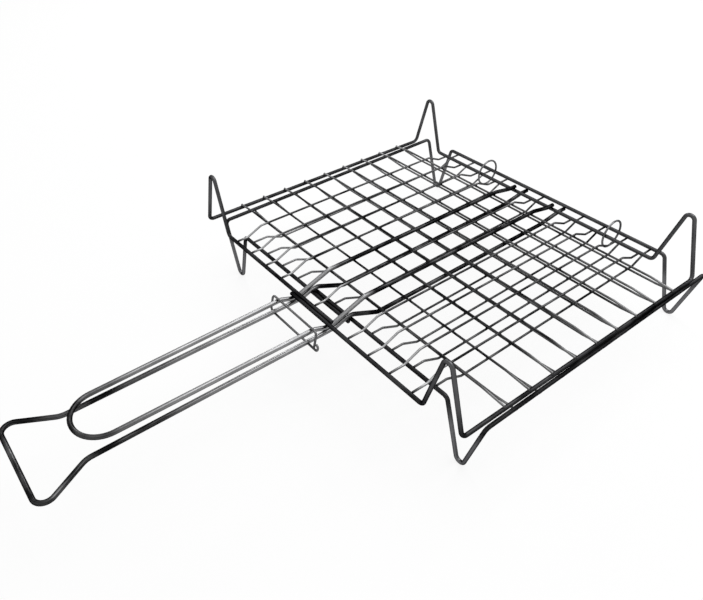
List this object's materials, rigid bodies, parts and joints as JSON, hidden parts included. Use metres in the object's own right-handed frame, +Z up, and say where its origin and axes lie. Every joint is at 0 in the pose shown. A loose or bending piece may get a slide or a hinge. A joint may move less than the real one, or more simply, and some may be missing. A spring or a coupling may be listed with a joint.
{
  "type": "double grill grate",
  "caption": "Hinged wire grill basket: two dished grates on bent feet hold food between them, with long handles that a sliding ring locks together.",
  "frame": {"origin": "centre of the closed part's bounding box, on the plane that the lower grate's four feet stand on", "axes": "+Y from the handles to the hinge side, +Z up through the upper grate, +X to the right seen from the handles"},
  "size_m": [0.4454, 0.6952, 0.1534],
  "materials": {
    "frame_wire": "plated steel wire, dulled",
    "mesh_wire": "plated steel wire, dulled",
    "handle_wire": "plated steel wire, bright",
    "ring_wire": "plated steel wire, bright"
  },
  "bodies": {
    "lower_grate": {"lower_frame": "frame_wire", "lower_handle": "handle_wire", "lower_cross_wire_1": "mesh_wire", "lower_cross_wire_2": "mesh_wire", "lower_cross_wire_3": "mesh_wire", "lower_cross_wire_4": "mesh_wire", "lower_cross_wire_5": "mesh_wire", "lower_cross_wire_6": "mesh_wire", "lower_cross_wire_7": "mesh_wire", "lower_cross_wire_8": "mesh_wire", "lower_cross_wire_9": "mesh_wire", "lower_long_wire_1": "mesh_wire", "lower_long_wire_2": "mesh_wire", "lower_long_wire_3": "mesh_wire", "lower_long_wire_4": "mesh_wire", "lower_long_wire_5": "mesh_wire", "lower_long_wire_6": "mesh_wire", "lower_long_wire_7": "mesh_wire", "lower_long_wire_8": "mesh_wire", "lower_long_wire_9": "mesh_wire"},
    "hinge_rings": {"hinge_ring_left": "ring_wire", "hinge_ring_right": "ring_wire"},
    "upper_grate": {"upper_frame": "frame_wire", "upper_handle": "handle_wire", "upper_cross_wire_1": "mesh_wire", "upper_cross_wire_2": "mesh_wire", "upper_cross_wire_3": "mesh_wire", "upper_cross_wire_4": "mesh_wire", "upper_cross_wire_5": "mesh_wire", "upper_cross_wire_6": "mesh_wire", "upper_cross_wire_7": "mesh_wire", "upper_cross_wire_8": "mesh_wire", "upper_cross_wire_9": "mesh_wire", "upper_long_wire_1": "mesh_wire", "upper_long_wire_2": "mesh_wire", "upper_long_wire_3": "mesh_wire", "upper_long_wire_4": "mesh_wire", "upper_long_wire_5": "mesh_wire", "upper_long_wire_6": "mesh_wire", "upper_long_wire_7": "mesh_wire", "upper_long_wire_8": "mesh_wire", "upper_long_wire_9": "mesh_wire"},
    "lock_ring": {"lock_ring": "ring_wire"}
  },
  "joints": [
    {"name": "ring_swing", "type": "hinge", "parent": "lower_grate", "child": "hinge_rings", "pos_m": [0, 0.34243, 0.07149], "axis": [-1, 0, 0], "range_deg": [0, 180]},
    {"name": "grate_open", "type": "hinge", "parent": "hinge_rings", "child": "upper_grate", "pos_m": [0, 0.31643, 0.07688], "axis": [-1, 0, 0], "range_deg": [0, 90]},
    {"name": "lock_slide", "type": "slide", "parent": "lower_grate", "child": "lock_ring", "axis": [0, -1, 0], "range_m": [0, 0.24]}
  ]
}
